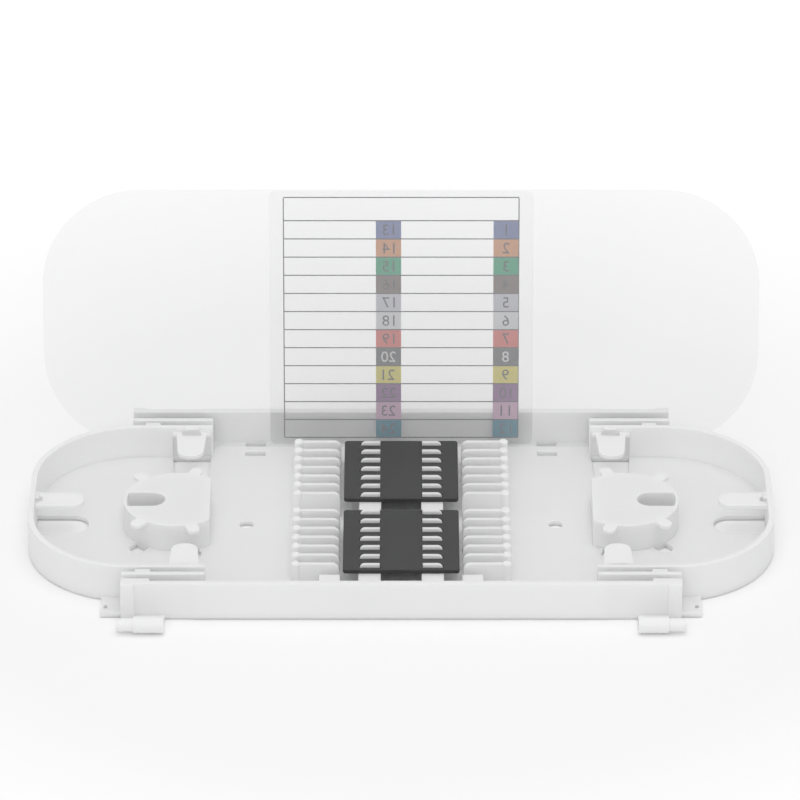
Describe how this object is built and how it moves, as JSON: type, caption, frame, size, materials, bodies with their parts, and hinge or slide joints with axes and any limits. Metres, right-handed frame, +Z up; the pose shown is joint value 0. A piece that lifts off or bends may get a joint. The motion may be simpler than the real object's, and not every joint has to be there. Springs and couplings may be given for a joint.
{
  "type": "fibre splice tray",
  "caption": "Low moulded tray with a fibre storage well at each end, banks of splice slots with foam pads, hinge pins, and a clear lid with a numbered card stood in its rear channel.",
  "frame": {"origin": "middle of the tray between its screw holes, on the underside of the floor", "axes": "+X along the tray towards its right end, +Y towards the side where the lid stands, +Z up"},
  "size_m": [0.225, 0.1289, 0.0825],
  "materials": {
    "tray_white": "fine satin moulded white",
    "pad_foam": "matt black foam rubber",
    "lid_clear": "clear polished sheet",
    "card_film": "thin satin film with printed fields"
  },
  "bodies": {
    "root": {"tray": "tray_white", "rear_pad": "pad_foam", "front_pad": "pad_foam", "lid": "lid_clear", "row_card": "card_film"}
  },
  "joints": []
}
